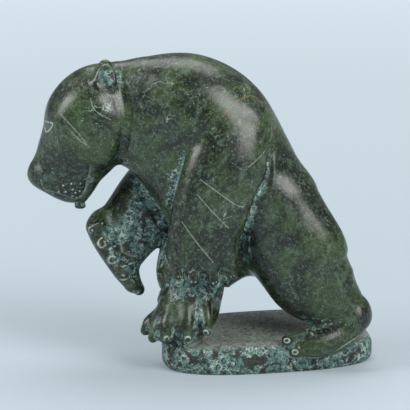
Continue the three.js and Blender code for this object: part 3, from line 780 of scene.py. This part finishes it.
def hairlines(size_mm, width_mm, shown_from):
    """Thin crooked lines between cells about size_mm wide, shown only here and there."""
    sway = node("ShaderNodeTexNoise", {
        "Vector": place_on_stone, "Scale": SWAYS_PER_CELL * 1000 / size_mm, "Detail": 4,
    }).outputs["Color"]
    crooked = node("ShaderNodeVectorMath", {
        0: sway, 1: (size_mm * MM * SWAY,) * 3, 2: place_on_stone,
    }, operation="MULTIPLY_ADD").outputs["Vector"]
    edge = node("ShaderNodeTexVoronoi", {
        "Vector": crooked, "Scale": 1000 / size_mm,
    }, feature="DISTANCE_TO_EDGE").outputs["Distance"]
    line = ramp(edge, 0, width_mm / size_mm, 1, 0)
    shown = ramp(noise(size_mm * PATCH_SIZE), shown_from, shown_from + PATCH_EDGE)
    return combined("MULTIPLY", line, shown)


BLACK_OLIVE = (0.004, 0.008, 0.002, 1)
OLIVE = (0.030, 0.052, 0.013, 1)
GREY_GREEN = (0.085, 0.140, 0.090, 1)
BLOOM = (0.120, 0.235, 0.215, 1)
DEEP_TEAL = (0.018, 0.035, 0.030, 1)
SPOT_BROWN = (0.012, 0.009, 0.005, 1)
ROCK_BROWN = (0.200, 0.215, 0.185, 1)
PALE_DUST = (0.560, 0.660, 0.560, 1)
CRACK_RUST = (0.160, 0.115, 0.045, 1)

clouds = noise(24, detail=4, roughness=0.62, warp=0.5)
patches = noise(8, detail=4, roughness=0.62, warp=0.6)
grain = noise(2.4, detail=4, roughness=0.7)
specks = noise(0.85, detail=2, roughness=0.5)

# polished stone: clouds of dark olive, grey-green patches, pale specks and cracks
olive = mixed(ramp(clouds, 0.44, 0.60), BLACK_OLIVE, OLIVE)
olive = mixed(ramp(patches, 0.50, 0.66, 0, 0.45), olive, GREY_GREEN)
olive = mixed(ramp(grain, 0.52, 0.64, 0, 0.6), olive, GREY_GREEN)
olive = mixed(ramp(grain, 0.34, 0.48, 0.75, 0), olive, BLACK_OLIVE)
olive = mixed(ramp(specks, 0.63, 0.75, 0, 0.45), olive, PALE_DUST)
long_cracks = hairlines(size_mm=19, width_mm=0.3, shown_from=0.56)
short_cracks = hairlines(size_mm=7, width_mm=0.2, shown_from=0.58)
olive = mixed(combined("MULTIPLY", long_cracks, 0.55), olive, PALE_DUST)
olive = mixed(combined("MULTIPLY", short_cracks, 0.3), olive, PALE_DUST)

# dusty stone: a blue-green bloom with fine pale scratches and brown-black spots
dusty = combined("ADD", attribute("dust"), ramp(patches, 0.3, 0.75, -0.12, 0.16))
bloom_share = ramp(dusty, 0.26, 0.50, 0, 0.92)
bloom = mixed(ramp(grain, 0.40, 0.58), DEEP_TEAL, BLOOM)
scratches = hairlines(size_mm=4, width_mm=0.3, shown_from=0.42)
bloom = mixed(scratches, bloom, PALE_DUST)
spots = ramp(noise(7.5, detail=3, roughness=0.55, warp=0.9), 0.53, 0.58, 0, 0.9)
bloom = mixed(spots, bloom, SPOT_BROWN)
rock_top = combined("MULTIPLY", attribute("rock"), ramp(attribute("up"), 0.6, 0.9, 0, 0.75))
streaks = ramp(grain, 0.30, 0.50)
bloom = mixed(rock_top, bloom, mixed(streaks, SPOT_BROWN, ROCK_BROWN))

coloured = mixed(bloom_share, olive, bloom)
coloured = mixed(attribute("rust"), coloured, CRACK_RUST)
worn_dust = combined("MULTIPLY", attribute("pale"), ramp(grain, 0.34, 0.5, 0.35, 1))
coloured = mixed(worn_dust, coloured, PALE_DUST)
links.new(coloured, shader.inputs["Base Color"])

gloss = ramp(patches, 0.3, 0.7, 0.24, 0.40)
dull = ramp(bloom_share, 0, 0.8, 0, 0.36)
links.new(combined("ADD", gloss, dull), shader.inputs["Roughness"])
shader.inputs["IOR"].default_value = 1.56

rough_height = combined("MULTIPLY", grain, ramp(bloom_share, 0, 1, 0.08, 1))
relief = node("ShaderNodeBump", {
    "Height": combined("ADD", rough_height, combined("MULTIPLY", specks, 0.05)),
    "Strength": 0.6, "Distance": 0.0009,
})
links.new(relief.outputs["Normal"], shader.inputs["Normal"])
mesh.materials.append(stone_finish)


# ---- Table, light and camera ----------------------------------------------------------
# A plain pale table runs out of view, with painted light on it: the table glows faintly, more so
# further off from the stone, standing in for the lit backdrop.
# Three broad soft lamps and a pale room light the stone, and the camera looks down on its
# near side from a little above.

TABLE_SIZE = 12
# painted light: the table's glow rises over GLOW_RUN metres from the stone, from GLOW_AT_STONE to
# GLOW_FAR_OFF
GLOW_RUN = 1.4
GLOW_AT_STONE, GLOW_FAR_OFF = 0.08, 0.66
table_mesh = bpy.data.meshes.new("pale_table")
half_table = TABLE_SIZE / 2
table_mesh.from_pydata(
    [(-half_table, -half_table, 0), (half_table, -half_table, 0), (half_table, half_table, 0),
     (-half_table, half_table, 0)], [], [(0, 1, 2, 3)])
table = bpy.data.objects.new("pale_table", table_mesh)
bpy.context.scene.collection.objects.link(table)
pale_paint_and_painted_glow = bpy.data.materials.new("pale_table_paint_and_painted_glow")
pale_paint_and_painted_glow.use_nodes = True
table_nodes = pale_paint_and_painted_glow.node_tree
table_shader = table_nodes.nodes["Principled BSDF"]
table_shader.inputs["Base Color"].default_value = (0.34, 0.40, 0.44, 1)
table_shader.inputs["Roughness"].default_value = 0.9
# painted light: the table is given a pale blue glow, faint by the stone and stronger further off,
# standing in for the lit backdrop
table_shader.inputs["Emission Color"].default_value = (0.80, 0.90, 0.97, 1)
where = table_nodes.nodes.new("ShaderNodeTexCoord")
away_from_stone = table_nodes.nodes.new("ShaderNodeVectorMath")
away_from_stone.operation = "LENGTH"
painted_glow = table_nodes.nodes.new("ShaderNodeMapRange")
painted_glow.inputs["From Min"].default_value = 0
painted_glow.inputs["From Max"].default_value = GLOW_RUN
painted_glow.inputs["To Min"].default_value = GLOW_AT_STONE
painted_glow.inputs["To Max"].default_value = GLOW_FAR_OFF
table_nodes.links.new(where.outputs["Object"], away_from_stone.inputs[0])
table_nodes.links.new(away_from_stone.outputs["Value"], painted_glow.inputs["Value"])
table_nodes.links.new(painted_glow.outputs["Result"], table_shader.inputs["Emission Strength"])
table_mesh.materials.append(pale_paint_and_painted_glow)

room = bpy.data.worlds.new("pale_room")
room.use_nodes = True
room.node_tree.nodes["Background"].inputs["Color"].default_value = (0.86, 0.92, 0.97, 1)
room.node_tree.nodes["Background"].inputs["Strength"].default_value = 0.30
bpy.context.scene.world = room


LAMP_AIM = Vector((0, 0, 0.1))


def soft_lamp(name, place, size, watts):
    lamp = bpy.data.lights.new(name, "AREA")
    lamp.shape = "RECTANGLE"
    lamp.size, lamp.size_y = size
    lamp.energy = watts
    stand = bpy.data.objects.new(name, lamp)
    stand.location = place
    stand.rotation_euler = (LAMP_AIM - Vector(place)).to_track_quat("-Z", "Y").to_euler()
    bpy.context.scene.collection.objects.link(stand)


soft_lamp("left_lamp", (-0.85, -0.25, 0.70), size=(0.50, 0.70), watts=7)
soft_lamp("right_lamp", (0.60, -0.60, 0.75), size=(0.55, 0.75), watts=9)
soft_lamp("top_lamp", (0, 0.35, 1.1), size=(0.9, 0.6), watts=6)

CAMERA_DISTANCE = 2.5
CAMERA_TILT = math.radians(13)
CAMERA_AIM = Vector((0.0029, 0.0027, 0.1043))
VIEW_WIDTH = 0.2665
SENSOR = 36
camera = bpy.data.cameras.new("camera")
camera.sensor_width = SENSOR
camera.lens = SENSOR * CAMERA_DISTANCE / VIEW_WIDTH
camera.clip_end = 30
tripod = bpy.data.objects.new("camera", camera)
back = Vector((0, -math.cos(CAMERA_TILT), math.sin(CAMERA_TILT)))
tripod.location = CAMERA_AIM + back * CAMERA_DISTANCE
tripod.rotation_euler = (-back).to_track_quat("-Z", "Y").to_euler()
bpy.context.scene.collection.objects.link(tripod)
bpy.context.scene.camera = tripod
bpy.context.scene.view_settings.view_transform = "Standard"
